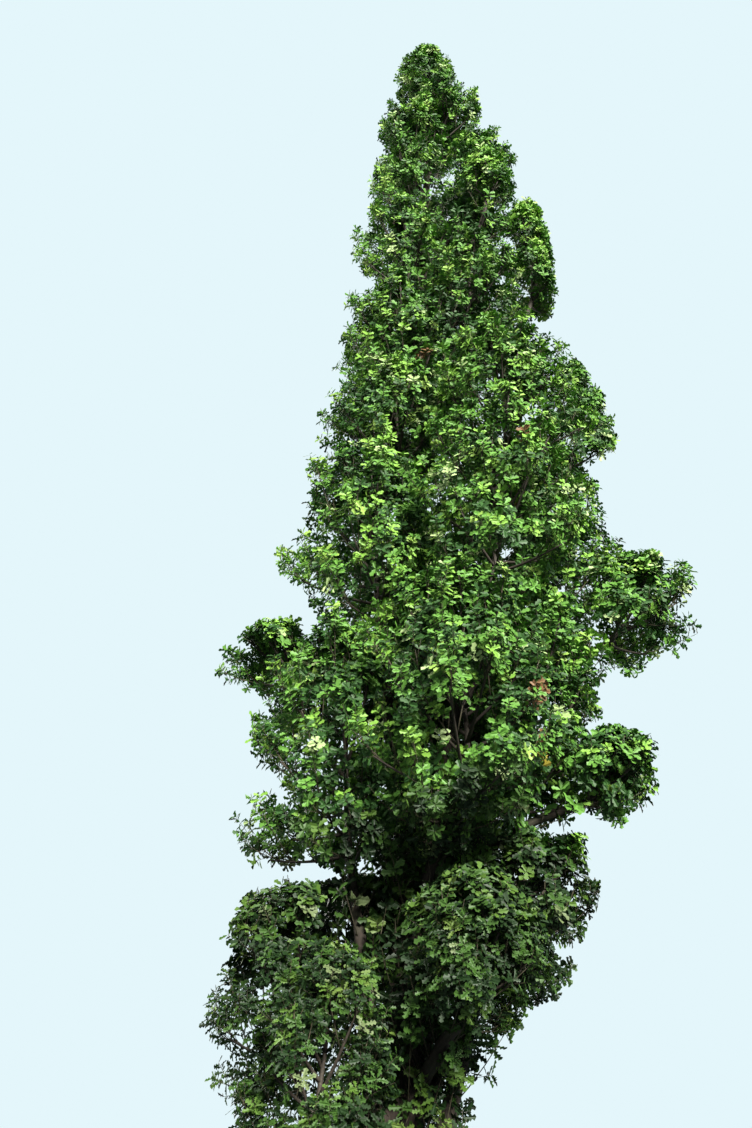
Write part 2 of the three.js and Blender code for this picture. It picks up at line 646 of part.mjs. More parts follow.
function buildOak() {
  const oak = new THREE.Group();
  const masses = layOutMasses();
  shareSpace(masses);
  masses.forEach(keepOffTrunk);
  oak.add(meshOf(trunkSolid(0), "trunk", bark));
  const wideTrunk = trunkSolid(CLEAR_GAP);
  const borne = masses.filter((mass) => mass.rise);
  for (const mass of borne) {
    const limb = largest(boughSolid(mass, 0).subtract(wideTrunk));
    oak.add(meshOf(limb, `bough_${mass.name}`, bark));
  }
  const limbRooms = [trunkSolid(LIMB_ROOM), ...borne.map(boughRoom)];
  const stemRooms = masses.map(stemRoom);
  masses.forEach((mass, i) => {
    const others = stemRooms.filter((_, k) => k !== i);
    const limbs = [...limbRooms, ...others].filter((limb) => passes(limb, mass));
    oak.add(meshOf(massSolid(mass, limbs), `foliage_${mass.name}`, foliage));
  });
  return oak;
}

export default buildOak();
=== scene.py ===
from dataclasses import dataclass, field

import bpy
import numpy as np
from mathutils import Matrix


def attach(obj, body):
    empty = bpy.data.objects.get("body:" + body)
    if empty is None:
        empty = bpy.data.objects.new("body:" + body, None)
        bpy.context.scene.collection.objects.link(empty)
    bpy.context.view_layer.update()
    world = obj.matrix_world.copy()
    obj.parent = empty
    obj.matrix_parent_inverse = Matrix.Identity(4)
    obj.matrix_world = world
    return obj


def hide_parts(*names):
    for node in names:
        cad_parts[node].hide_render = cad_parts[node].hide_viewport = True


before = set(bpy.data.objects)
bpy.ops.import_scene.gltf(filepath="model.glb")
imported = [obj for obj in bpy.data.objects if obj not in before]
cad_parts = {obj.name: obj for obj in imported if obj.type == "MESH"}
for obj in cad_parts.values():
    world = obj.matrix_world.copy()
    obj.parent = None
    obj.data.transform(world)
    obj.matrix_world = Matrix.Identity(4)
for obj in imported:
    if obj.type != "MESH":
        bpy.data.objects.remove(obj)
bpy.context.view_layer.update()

# The columnar english oak in its looks: bark with relief on the trunk and the boughs, and every mass of
# foliage grown out to limbs, twigs, shoots and lobed leaves. Metres, +Z up, origin under the trunk.
# Azimuths are in degrees, from +X towards +Y, so 270 is the front of the tree.
UP = np.array([0.0, 0.0, 1.0])

# Where the photograph was taken from, and its lens. The camera is pitched up, turned to the left and
# rolled anticlockwise, in degrees, and its sensor is in millimetres.
PHOTO_WIDTH = 752
PHOTO_HEIGHT = 1128
FOCAL_PIXELS = 1080
EYE = np.array([0.0, -8.85, 1.6])
PITCH = 42.1
TURN = 2.3
ROLL = 1.68
SENSOR = 36.0
CLIP_END = 500

# The trunk, as in the solids.
TRUNK_LENGTH = 21.0
TRUNK_LEAN = 0.43
TRUNK_SWAY = 0.07
SWAY_LENGTH = 6.4
NOD_LENGTH = 8.96
TRUNK_TOP_RADIUS = 0.038
TRUNK_TAPER = 0.125
FORK_SWELL = 0.115
FORK_FROM = 2.0
FORK_TO = 4.6
FLARE = 0.15
FLARE_HEIGHT = 0.42
BUTTRESSES = 5
BUTTRESS_DEPTH = 0.13

# The boughs, as in the solids.
BOUGH_ROOT_SHARE = 0.42
BOUGH_TIP_RADIUS = 0.04
BOUGH_TAPER = 0.8
BOUGH_STAGGER = 0.21
SHORT_BOUGH = 1.2
SLANT = [(0.28, 0.36), (0.72, 0.78)]  # a long bough's bends: shares of its reach outwards and of its rise
ARCH = [(0.3, 0.6), (0.6, 0.9)]  # and a short one's
BOUGH_TIP_DROP = 0.7
BOUGH_TIP_INWARD = 0.2

# The spaces of the foliage, as in the solids.
SPACE_ROOM = 0.02
LIMB_ROOM = 0.006
FULLNESS = 2.7
REACH_SPARE = 1.1
TAPER_UP = 0.16
SPIRE_TAPER_UP = 0.6
BESIDE_TRUNK = 0.3
OFF_TRUNK = 0.15
TRUNK_LEVELS = np.array([-1, -0.5, 0, 0.5, 1])
STEM_HEAD_RISE = 0.34
STEM_FOOT_DROP = 0.95
STEM_FOOT_RUN = 0.35
STEM_HEAD_RUN = 0.3
STEM_ASIDE_RISE = 0.4
STEM_ASIDE_SHARE = 0.55
GOLDEN_SHARE = (5 ** 0.5 - 1) / 2
SPREAD = 4.2
TIER_TALL = 1.95

# The crown's outline: at each height the place of its axis along X, and its radius.
CROWN = np.array([
    (3.3, -0.42, 1.05),
    (4.6, -0.38, 1.25),
    (5.7, 0.08, 1.8),
    (7, 0.26, 1.9),
    (8.9, 0.52, 2.08),
    (10.2, 0.62, 2.04),
    (12, 0.64, 1.78),
    (13.8, 0.42, 1.38),
    (15.6, 0.52, 1.44),
    (17.8, 0.66, 1.36),
    (19.4, 0.38, 0.98),
    (21.5, 0.35, 0.58),
    (23.1, 0.38, 0.22),
])

# Each tier is a ring of masses round the axis. height is the middle of its first mass, climb how much
# higher each next one stands, start the azimuth of the first, step the turn to the next, wide the half
# width of a mass as a share of the crown's radius, and rise how far below the first mass its bough
# leaves the trunk. tall is their half height where it isn't TIER_TALL.
TIERS = [
    dict(name="skirt", count=3, height=4.15, climb=0.65, start=248, step=-66, wide=0.56, rise=1.1,
         tall=1.15),
    dict(name="low", count=3, height=7.09, climb=0.04, start=190, step=-105, wide=0.55, rise=2.9),
    dict(name="waist", count=4, height=9.5, climb=0.06, start=200, step=90, wide=0.54, rise=2.3),
    dict(name="middle", count=3, height=11.35, climb=-0.15, start=200, step=106, wide=0.56, rise=2.3,
         tall=1.6),
    dict(name="breast", count=3, height=13.4, climb=0.65, start=195, step=128, wide=0.6),
    dict(name="shoulder", count=3, height=15.4, climb=0.65, start=195, step=130, wide=0.6),
    dict(name="neck", count=3, height=16.85, climb=0.5, start=315, step=-120, wide=0.53, tall=1.85),
    dict(name="crest", count=3, height=19.05, climb=0.6, start=195, step=120, wide=0.62, tall=1.95),
    dict(name="tip", count=1, height=21.55, climb=0, start=0, step=0, wide=1.05, tall=1.5),
]

# The masses that stand out of the column. out is measured from the axis to the middle of the mass, and
# size is its half sizes along X, Y and Z.
OUTLIERS = [
    dict(name="low_front", height=7.15, azimuth=282, out=0.96, size=(1.12, 1.12, 1.48), rise=1.15),
    dict(name="front_tuft", height=4.9, azimuth=313, out=1.2, size=(0.6, 0.5, 0.64), rise=0.7),
    dict(name="right_skirt", height=5.95, azimuth=14, out=0.95, size=(0.76, 0.8, 1), rise=1.5),
    dict(name="right_tuft", height=6.75, azimuth=348, out=1.62, size=(0.56, 0.48, 0.42), rise=1.1),
    dict(name="left_arm", height=8.35, azimuth=172, out=1.75, size=(0.85, 0.62, 0.42), rise=1.05),
    dict(name="right_arm", height=8.75, azimuth=354, out=1.84, size=(0.92, 0.66, 0.66), rise=1.5),
    dict(name="right_spire", height=12.1, azimuth=8, out=1.5, size=(0.5, 0.48, 1.6), rise=2),
    dict(name="side_spire", height=16.6, azimuth=303, out=0.92, size=(0.42, 0.45, 2), rise=1.5),
    dict(name="top_spire", height=16.1, azimuth=2, out=1.12, size=(0.45, 0.5, 3.25), rise=1.9),
]

# The growth inside a mass, from its stem out to its leaves. The limbs follow the rule of the solids'
# twigs, more of them. Each next row is a further order of branching: how many leave each branch of the
# order before, from which share of its length on, how far they turn from it at first and at its tip, in
# radians, how much they lift towards the light, their longest and shortest length, the share of the room
# ahead that they may take, and how far they bend up.
LIMBS = dict(count=23, room=0.8, longest=1.7, shortest=0.16, bend=0.2, points=8)
LIMB_SLOPES = ([0, 0.3, 1], [-0.95, 0.15, 1.2])  # in radians, at these shares of the way up the stem
SLOPE_SCATTER = 0.2
TWIGS = dict(count=5, first=0.4, tilt=(0.95, 0.2), lift=0.5, longest=0.55, shortest=0.12, room=0.85,
             bend=0.2, points=4)
SHOOTS = dict(count=9, first=0.28, tilt=(1.1, 0.35), lift=0.25, longest=0.17, shortest=0.04, room=0.95,
              bend=0.1, points=3)
LEAVES_PER_SHOOT = 9
# By how much these vary from branch to branch, as factors, so that the outline is ragged.
ROOM_SPREAD = (0.64, 1.12)
LENGTH_SPREAD = (0.7, 1.15)
TILT_SPREAD = (0.8, 1.2)
PLACE_SCATTER = 0.04  # and the place on the parent, up or down, as a share of its length
FEWEST_LIMBS = 15
FULL_MASS_AREA = 10.0  # a mass with less surface than this, in square metres, has fewer limbs
MOST_LIMBS = 1.2  # and one with more has up to this many times LIMBS' count
OPEN_SHARE = 0.62  # how much of its surface a mass beside the trunk shows
LEADER_RISE = 0.82  # how far above the middle of its mass a stem's leader ends, as a share of half height
REACH_SLACK = 0.06  # a leaf may stand this far out of its mass's space
# Leafy twigs on a slender mass's stem, on the trunk and on the boughs, and the middles and half sizes of
# the spaces that they keep to. The waist's fill the crown where the middle and breast masses meet.
SLENDER = 0.66  # the largest half width of a slender mass
STEM_TWIGS = dict(TWIGS, count=18, first=0.05, tilt=(1.3, 0.6), longest=0.45)
TRUNK_TWIGS = dict(TWIGS, count=280, first=0.17, tilt=(1.0, 0.7), longest=0.9)
BOUGH_TWIGS = dict(TWIGS, count=17, first=0.12, tilt=(1.1, 0.8), longest=0.7)
WAIST_TWIGS = dict(TWIGS, count=72, first=0.0, tilt=(1.25, 1.1), lift=0.25, longest=1.3, room=0.95)
INNER_SHOOTS = dict(SHOOTS, count=5)
WAIST_SHOOTS = dict(SHOOTS, count=8)
TRUNK_SPACE = ((0.28, 0.0, 12.0), (1.5, 1.5, 9.3))
BOUGH_SPACE = ((0.5, 0.0, 9.5), (2.6, 2.0, 8.0))
WAIST_SPACE = ((0.4, 0.0, 12.5), (1.4, 1.35, 2.1))
WAIST_STEM = (11.3, 13.2)  # the heights between which the trunk carries the waist's twigs
# The radii of each order at its root and at its tip, and the sides of its sticks.
STEM_RADIUS = (0.037, 0.008)
LIMB_RADIUS = (0.019, 0.007)
TWIG_RADIUS = (0.0065, 0.003)
SHOOT_RADIUS = (0.0028, 0.0014)
STEM_SIDES = 8
LIMB_SIDES = 5
TWIG_SIDES = 3
# A mass's surface is drawn in between plumes, upright lumps of leaves, by a share of its girth.
PLUME_WIDE = 0.8
PLUME_TALL = 1.25
PLUME_DEPTH = 0.32
PLUME_FOOT = 0.6  # the height of one of the level creases
PLUME_SWAY = 0.22  # how far the upright creases wander sideways
SWAY_WAVES = [(1.7, 1.3, 0), (1.9, 1.1, 2)]  # radians a metre up and across, and the start
PLUME_STAGGER = 0.35  # how far the level creases wander up and down
STAGGER_WAVES = (2.6, 2.2)  # radians a metre along X and along Y
PLUME_ROUNDNESS = 0.35  # the lower, the flatter a plume and the narrower a crease
PLUME_FULL = 0.1  # how far a plume would stand out of the mass's girth, which cuts it flat
PLAIN_MASSES = ("inner", "spire")  # how the names of masses without such creases end
# Painted shade: sprays in the creases between plumes are dealt darker tints, as if shaded by the plumes
# beside them.
PLUME_SHADE = (0.35, 0.8)  # from where to where between crease and plume the sprays turn bright

# One leaf: obovate, with rounded lobes on each side, folded along its midrib. An outline is one side's
# lobes and notches in turn, as shares of the leaf's length: how far along the midrib, how far from it.
# Near the ground a leaf has three lobes a side, and high up, where it is seen from far away, two.
LEAF_LENGTH = 0.078
LEAF_LENGTH_SPREAD = (0.7, 1.2)
SHADE_LEAF = 1.3  # how much longer the leaves between the masses are, as shade leaves are on an oak
LOW_LEAF = [(0.28, 0.15), (0.4, 0.06), (0.57, 0.27), (0.68, 0.1), (0.86, 0.22)]
HIGH_LEAF = [(0.42, 0.24), (0.54, 0.15), (0.8, 0.28)]
LEAF_FOLD = 0.24
LEAF_CURL = 0.17
FOLD_SPREAD = (0.2, 1.6)
CURL_SPREAD = (-0.2, 1.8)
FIRST_LEAF = 0.35  # the share of a shoot from which on it bears leaves
LEAF_CROWDING = 0.6  # the lower, the more they crowd towards its tip
LEAF_STEP = 0.6  # a leaf's place in its own step of the way
LEAF_TILT = (1.0, 1.5)  # how far they turn from the shoot, in radians
# Which way a blade faces: out of its mass, along its shoot and up, and how much that varies by spray and
# by leaf. Out of its mass counts less upwards than sideways.
LEAF_OUTWARD = 1.0
LEAF_ALONG = 0.25
LEAF_UP = -0.05
SPRAY_SCATTER = 0.24
LEAF_SCATTER = 0.12
UPWARD_FACING = 0.4

# The leaf tints: name, colour, how often an outer spray has it, and how often an inner one. The darker
# odds inside are partly the darker shade leaves of a real oak and partly painted shade. Low down the crown
# stands in shade, and its outer sprays are painted darker too, as painted shade.
TINTS = [
    ("deep", "#294b1e", 0.11, 0.44),
    ("mid", "#527f30", 0.31, 0.43),
    ("bright", "#709b3b", 0.36, 0.1),
    ("young", "#80a148", 0.14, 0.015),
    ("pale", "#93a970", 0.08, 0.015),
]
INNER_SHARE = 0.35  # of a mass's half width: up to there a spray has the inner odds
OUTER_BEYOND = 0.45  # and this much further out it has the outer ones
SHADED_BELOW = (4.5, 10.5)  # the shade fades between these heights
SHADE_SHARE = 0.9  # how far it takes a spray's odds from the outer to the inner ones
# The tints of sprays that have died or turned, and where they are on the front of the crown: X, height
# and the number of the tint.
TURNED_TINTS = [("dead", "#6b5033"), ("yellow", "#a3953c")]
TURNED_SPRAYS = [(1.11, 9.75, 0), (0.16, 12.19, 0), (1.1, 6.84, 0), (-1.18, 10.39, 0), (1.16, 6.53, 1)]
TURNED_SPREAD = 0.07  # a spray has turned where its tip is nearer to such a place than this
FRONT_BEYOND = -0.75  # a spray is on the front where its Y is less than this

# Leaves and twigs are joined by zones of height, so that no piece grows too large: each zone's name, its
# upper end, and a factor on its leaves' colour that is painted light and shade: darker low down, where
# less light reaches them, and a little lighter high up.
ZONES = [("foot", 5.0, 0.36), ("skirt", 6.1, 0.33), ("lower", 8.2, 0.95), ("middle", 11.2, 1.05),
         ("upper", 15.0, 1.0), ("top", 30.0, 1.1)]

# Bark relief: ridges that run up the stem, part and join again, and are cracked across.
FURROW_WIDTH = 0.05
FURROW_DEPTH = 0.02
BOUGH_FURROW_DEPTH = 0.01
FULL_RELIEF_RADIUS = 0.16  # a thinner limb has shallower furrows
FEWEST_RIDGES = 6
RIDGE_ROUNDNESS = 0.55  # the lower, the flatter a ridge and the narrower a furrow
# A slow sine by which the ridges wander: its size, its radians a metre along the stem and for each radian
# round it, and its start.
WANDER_WAVES = [(1.1, 2.1, 3, 0), (0.9, 4.7, -5, 1.3), (0.6, 11.3, 7, 0.4)]
CRACK_WAVE = 9.5  # radians a metre: a crack about every 0.33 m
CRACK_STEP = 1.6  # by how much cracks shift from ridge to ridge, in radians
CRACK_DRIFT = (2.2, 3)  # and round the stem, with how many waves
CRACK_DEPTH = 0.3  # of the furrow's
CRACK_SHARPNESS = 3.5
TRUNK_SIDES = 144
TRUNK_RINGS = 240
RING_CROWDING = 1.25  # over 1, the trunk's rings stand closer together near the ground
BOUGH_SIDES = 20
BOUGH_RINGS = 60
# The knobs of a bough: their size as a share of its radius, and their radians likewise.
KNOBS = [(0.05, 9, 2), (0.04, 23, 0)]
COLLAR = 0.4  # how much thicker a bough is where it leaves the trunk
COLLAR_REACH = 0.07

# Sizes in the finishes' patterns. A noise shows features about half as large as its own size.
LEAF_MOTTLE = 0.025
LEAF_MOTTLE_TONES = (0.8, 1.16)
BARK_GRAIN = 0.012
GRAIN_DRAWN_OUT = 0.2  # how often the grain repeats along the stem, as a share of how often across it
GRAIN_RELIEF = 0.004
ALGAE_PATCH = 0.3
TWIG_SPECK = 0.016

# The studio: a low key light from in front of the tree and to its right, a weaker and broader one from
# behind it, and a pale surround, which shows brighter behind the tree than it lights it. A light's row
# says its name, azimuth, elevation, strength, and how broad it is in degrees.
LIGHTS = [("key", 290, 24, 12.6, 20), ("fill", 110, 35, 6.0, 60)]
LIGHT_COLOUR = (1.0, 0.97, 0.9)
SURROUND = "#e4f6fb"
SURROUND_SHOWN = 1.0
SURROUND_LIGHTING = 0.27
FLOOR_COLOUR = "#d9dbd6"
FLOOR_SIDE = 120
FLOOR_DROP = 0.002  # how far the floor lies below the trunk's cut

# How closely shapes are worked out.
TINY = 1e-9
NEARLY_UPRIGHT = 0.9  # the rise or fall of a heading that counts as upright
FAR_OUTSIDE = 2.5  # half diagonals of a mass, from anywhere inside it
HALVINGS = 11
CURVE_STEPS = 200  # on a Bezier curve, from which its even points are taken
STEM_POINTS = 12
LEADER_POINTS = 9
BOUGH_POINTS = 30
BOUGH_STRIDE = 3  # one in so many of them is on the limbs' path, so that most limbs grow on the stem
TRUNK_POINTS = 60
INNER_BOUGH_POINTS = 20
WAIST_POINTS = 8

SEED = 20
rng = np.random.default_rng(SEED)


def smoothstep(low, high, value):
    """0 below low, 1 above high, and 3t^2 - 2t^3 between them."""
    t = np.clip((value - low) / (high - low), 0, 1)
    return t * t * (3 - 2 * t)


def unit(vectors):
    """Vectors divided by their own lengths."""
    return vectors / np.maximum(np.linalg.norm(vectors, axis=-1, keepdims=True), TINY)


def trunk_centre(height):
    """A parabola that leans to +X, with two slow cosine bends across it."""
    height = np.asarray(height, dtype=float)
    share = height / TRUNK_LENGTH
    sway = (1 - np.cos(2 * np.pi * height / SWAY_LENGTH)) / 2
    nod = (1 - np.cos(2 * np.pi * height / NOD_LENGTH)) / 2
    return np.stack([TRUNK_LEAN * share ** 2 - TRUNK_SWAY * sway, TRUNK_SWAY * nod, height], axis=-1)


def trunk_radius(height, angle=0.0):
    """A straight taper, a smoothstep swell under the boughs, an exponential flare lobed by a cosine."""
    taper = TRUNK_TOP_RADIUS + TRUNK_TAPER * (1 - height / TRUNK_LENGTH)
    fork = FORK_SWELL * (1 - smoothstep(FORK_FROM, FORK_TO, height))
    near = np.exp(-height / FLARE_HEIGHT)
    return (taper + fork + FLARE * near) * (1 + BUTTRESS_DEPTH * near * np.cos(BUTTRESSES * angle))


def crown_at(height):
    """The crown's axis and radius: smoothstep between the rows of CROWN."""
    high = int(np.clip(np.searchsorted(CROWN[:, 0], height), 1, len(CROWN) - 1))
    low = high - 1
    t = smoothstep(CROWN[low, 0], CROWN[high, 0], height)
    return CROWN[low, 1:] + (CROWN[high, 1:] - CROWN[low, 1:]) * t


def polar(radius, azimuth, height):
    """A point at a distance and an azimuth from the crown's axis."""
    angle = np.radians(azimuth)
    return np.array([crown_at(height)[0] + radius * np.cos(angle), radius * np.sin(angle), height])


@dataclass
class Mass:
    """One mass of foliage: its middle, half sizes, and the flat faces that it shares with others."""
    name: str
    centre: np.ndarray
    size: np.ndarray
    rise: float = 0.0
    taper: float = TAPER_UP
    normals: list = field(default_factory=list)
    offsets: list = field(default_factory=list)

    def outward(self):
        """The direction from the trunk to the mass, level."""
        off = self.centre - trunk_centre(self.centre[2])
        return off[:2]

    def beside_trunk(self):
        """Whether the mass stands beside the trunk and not round it."""
        return np.hypot(*self.outward()) > BESIDE_TRUNK


def taper_of(name):
    """How much narrower a mass is at its top than at its middle."""
    return SPIRE_TAPER_UP if name == "tip" or name.endswith("spire") else TAPER_UP


def lay_out_masses():
    """The tiers and the outliers, placed as the solids are."""
    masses = []
    for tier in TIERS:
        for k in range(tier["count"]):
            height = tier["height"] + k * tier["climb"]
            radius = crown_at(height)[1]
            wide = radius * tier["wide"]
            rise = tier["rise"] + k * BOUGH_STAGGER if "rise" in tier else 0.0
            name = tier["name"] if tier["count"] == 1 else f"{tier['name']}_{k + 1}"
            centre = polar(radius - wide, tier["start"] + k * tier["step"], height)
            size = np.array([wide, wide, tier.get("tall", TIER_TALL)])
            masses.append(Mass(name, centre, size, rise, taper_of(name)))
    for row in OUTLIERS:
        centre = polar(row["out"], row["azimuth"], row["height"])
        name, size = row["name"], np.array(row["size"])
        masses.append(Mass(name, centre, size, row["rise"], taper_of(name)))
    return masses


def girth(level, taper):
    """The half width of a mass as a share of its widest: a superellipse that narrows towards its top."""
    flat = np.minimum(np.abs(level), 1)
    return np.sqrt(1 - flat ** FULLNESS) * (1 - taper * np.maximum(level, 0))


def share_space(masses):
    """Two masses that would meet share a flat face between them, nearer to the smaller one."""
    for i, one in enumerate(masses):
        for other in masses[i + 1:]:
            between = other.centre - one.centre
            distance = np.linalg.norm(between)
            towards = between / distance
            mine = REACH_SPARE * np.linalg.norm(one.size * towards)
            theirs = REACH_SPARE * np.linalg.norm(other.size * towards)
            if mine + theirs < distance:
                continue
            middle = one.centre + towards * distance * mine / (mine + theirs)
            one.normals.append(towards)
            one.offsets.append(towards @ middle - SPACE_ROOM)
            other.normals.append(-towards)
            other.offsets.append(-towards @ middle - SPACE_ROOM)


def keep_off_trunk(mass):
    """A mass beside the trunk keeps to its own side of it, behind one more flat face."""
    inward = trunk_centre(mass.centre[2]) - mass.centre
    inward[2] = 0
    if np.linalg.norm(inward) < trunk_radius(mass.centre[2]) + OFF_TRUNK:
        return
    inward = unit(inward)
    heights = np.minimum(mass.centre[2] + TRUNK_LEVELS * mass.size[2], TRUNK_LENGTH)
    reaches = trunk_centre(heights) @ inward - trunk_radius(heights)
    mass.normals.append(inward)
    mass.offsets.append(reaches.min() - LIMB_ROOM)


def plumes(points):
    """1 in the middle of a plume and 0 in a crease between two: a low power of the product of three |sin|
    waves along X, Y and Z, which wander sideways by slow sines."""
    x, y, z = points[..., 0], points[..., 1], points[..., 2]
    sway_x, sway_y = (PLUME_SWAY * np.sin(up * z + across * other + start)
                      for (up, across, start), other in zip(SWAY_WAVES, (y, x)))
    along_x, along_y = STAGGER_WAVES
    level = z - PLUME_FOOT + PLUME_STAGGER * np.sin(along_x * x) + PLUME_STAGGER * np.sin(along_y * y)
    lumps = np.sin(np.pi / PLUME_WIDE * (x + sway_x)) * np.sin(np.pi / PLUME_WIDE * (y + sway_y))
    return np.abs(lumps * np.sin(np.pi / PLUME_TALL * level)) ** PLUME_ROUNDNESS


def holds(mass, points, slack=0.0):
    """Which points lie in the mass's space, or no further than slack outside it."""
    off = (points - mass.centre) / (mass.size + slack)
    inside = np.abs(off[..., 2]) <= 1
    reach = girth(off[..., 2], mass.taper)
    if not mass.name.endswith(PLAIN_MASSES):
        reach = reach * np.minimum(1, 1 + PLUME_FULL - PLUME_DEPTH * (1 - plumes(points)))
    inside &= np.hypot(off[..., 0], off[..., 1]) <= reach
    for normal, offset in zip(mass.normals, mass.offsets):
        inside &= points @ normal <= offset + slack
    return inside


def room_along(mass, start, direction):
    """How far the space goes on from each start along its direction, by halving."""
    inside = np.zeros(len(start))
    outside = np.full(len(start), FAR_OUTSIDE * np.linalg.norm(mass.size))
    for _ in range(HALVINGS):
        middle = (inside + outside) / 2
        fits = holds(mass, start + direction * middle[:, None])
        inside = np.where(fits, middle, inside)
        outside = np.where(fits, outside, middle)
    return inside


def bezier(corners, share):
    """A cubic Bezier curve at each share."""
    a, b, c, d = corners
    t = np.asarray(share)[:, None]
    return a * (1 - t) ** 3 + 3 * b * t * (1 - t) ** 2 + 3 * c * t ** 2 * (1 - t) + d * t ** 3


def way_along(points):
    """How far along a path each of its points lies."""
    steps = np.linalg.norm(np.diff(points, axis=0), axis=1)
    return np.concatenate([[0], np.cumsum(steps)])


def points_at(wanted, places, points):
    """Points of a path at the wanted places, on straight lines between its points, which lie at places."""
    return np.stack([np.interp(wanted, places, points[:, axis]) for axis in range(3)], axis=1)


def even_points(corners, count):
    """Points an even distance apart along a Bezier curve."""
    fine = bezier(corners, np.linspace(0, 1, CURVE_STEPS))
    travelled = way_along(fine)
    return points_at(np.linspace(0, travelled[-1], count), travelled, fine)


def foot_of(mass):
    """Where a mass's stem begins: the tip of its bough, or the trunk's centre line."""
    if mass.name == "tip":
        return trunk_centre(TRUNK_LENGTH)
    if not mass.rise:
        return trunk_centre(mass.centre[2] - STEM_FOOT_DROP * mass.size[2])
    low = mass.centre - BOUGH_TIP_DROP * mass.size[2] * UP
    inward = trunk_centre(low[2]) - low
    return low + inward * BOUGH_TIP_INWARD


def bough_corners(mass):
    """The corners of the bough's Bezier curve: close beside the trunk, then slanting out, or an arch."""
    tip = foot_of(mass)
    root = trunk_centre(tip[2] - mass.rise)
    out = tip - root
    out[2] = 0
    up = mass.rise * UP
    bends = ARCH if mass.rise < SHORT_BOUGH else SLANT
    return [root, *(root + out * outwards + up * upwards for outwards, upwards in bends), tip]


def stem_corners(mass):
    """The corners of the stem's Bezier curve, from the mass's foot up through it."""
    foot = foot_of(mass)
    heading = UP
    if mass.rise:
        corners = bough_corners(mass)
        heading = unit(corners[3] - corners[2])
    head = mass.centre + STEM_HEAD_RISE * mass.size[2] * UP
    length = np.linalg.norm(head - foot)
    first = foot + heading * length * STEM_FOOT_RUN
    if not mass.rise and mass.name != "tip":
        aside = np.array([mass.centre[0], mass.centre[1], foot[2] + STEM_ASIDE_RISE * length])
        first = first + (aside - first) * STEM_ASIDE_SHARE
    second = head - length * STEM_HEAD_RUN * UP
    return [foot, first, second, head]


def crossways(headings):
    """Two unit vectors across each heading and across each other."""
    helper = np.where(np.abs(headings[..., 2:]) > NEARLY_UPRIGHT, [1.0, 0.0, 0.0], UP)
    one = unit(np.cross(headings, helper))
    return one, np.cross(headings, one)


def turned_away(headings, turn, tilt):
    """Each heading tilted by an angle, towards the side that turn gives round it: cosine and sine shares of
    the heading and of the two vectors across it."""
    one, other = crossways(headings)
    sideways = one * np.cos(turn) + other * np.sin(turn)
    return headings * np.cos(tilt) + sideways * np.sin(tilt)


def grow_out(mass, start, direction, rule):
    """Branches as long as the space allows, that bend upwards as the square of the way along them. One
    with too little room is left out."""
    room = room_along(mass, start, direction)
    longest = rule["longest"] * rng.uniform(*LENGTH_SPREAD, len(start))
    length = np.minimum(longest, rule["room"] * room * rng.uniform(*ROOM_SPREAD, len(start)))
    kept = length > rule["shortest"]
    start, direction, length = start[kept], direction[kept], length[kept][:, None, None]
    t = np.linspace(0, 1, rule["points"])[None, :, None]
    lift = UP * length * rule["bend"] * t ** 2
    return start[:, None] + direction[:, None] * length * t + lift


def branch(mass, parents, rule):
    """One more order of branching. Every branch leaves its parent one golden share of a turn further
    round than the last, is turned from the parent's heading and lifted towards the light."""
    count = rule["count"]
    last = parents.shape[1] - 1
    shares = rule["first"] + (1 - rule["first"]) * (np.arange(count) + 0.5) / count
    scatter = rng.uniform(-PLACE_SCATTER, PLACE_SCATTER, (len(parents), count))
    shares = np.clip(shares + scatter, 0, 1)
    place = shares * last
    low = np.minimum(place.astype(int), last - 1)
    part = (place - low)[..., None]
    rows = np.arange(len(parents))[:, None]
    start = (parents[rows, low] * (1 - part) + parents[rows, low + 1] * part).reshape(-1, 3)
    heading = unit(parents[rows, low + 1] - parents[rows, low]).reshape(-1, 3)
    turn = 2 * np.pi * (rng.random((len(parents), 1)) + np.arange(count) * GOLDEN_SHARE)
    tilt = np.interp(shares, [rule["first"], 1], rule["tilt"]).reshape(-1, 1)
    tilt = tilt * rng.uniform(*TILT_SPREAD, (len(start), 1))
    direction = turned_away(heading, turn.reshape(-1, 1), tilt)
    return grow_out(mass, start, unit(direction + rule["lift"] * UP), rule)


def mass_surface(mass):
    """Roughly the surface of a mass that isn't shared, in square metres."""
    around = np.pi * (mass.size[0] + mass.size[1])
    return around * 2 * mass.size[2] * (OPEN_SHARE if mass.beside_trunk() else 1)


def grow_limbs(mass, path):
    """The limbs leave the path one golden share of their spread apart, each steeper than the last."""
    full = min(MOST_LIMBS, mass_surface(mass) / FULL_MASS_AREA)
    count = max(FEWEST_LIMBS, round(LIMBS["count"] * full))
    shares = (np.arange(count) + 0.5) / count
    start = points_at(shares * (len(path) - 1), np.arange(len(path)), path)
    outward = mass.outward()
    spread = SPREAD if mass.beside_trunk() else 2 * np.pi
    turn = (rng.random() + np.arange(count) * GOLDEN_SHARE) % 1 - 0.5
    azimuth = np.arctan2(outward[1], outward[0]) + turn * spread
    slope = np.interp(shares, *LIMB_SLOPES) + rng.uniform(-SLOPE_SCATTER, SLOPE_SCATTER, count)
    level = np.cos(slope)
    direction = np.stack([np.cos(azimuth) * level, np.sin(azimuth) * level, np.sin(slope)], axis=1)
    return grow_out(mass, start, direction, LIMBS)


def leader_of(mass, head):
    """The stem's straight way on from its head to near the top of the mass, as far as the space goes."""
    top = mass.centre + LEADER_RISE * mass.size[2] * UP
    points = head + (top - head) * np.linspace(0, 1, LEADER_POINTS)[1:, None]
    return points[np.cumprod(holds(mass, points)).astype(bool)]


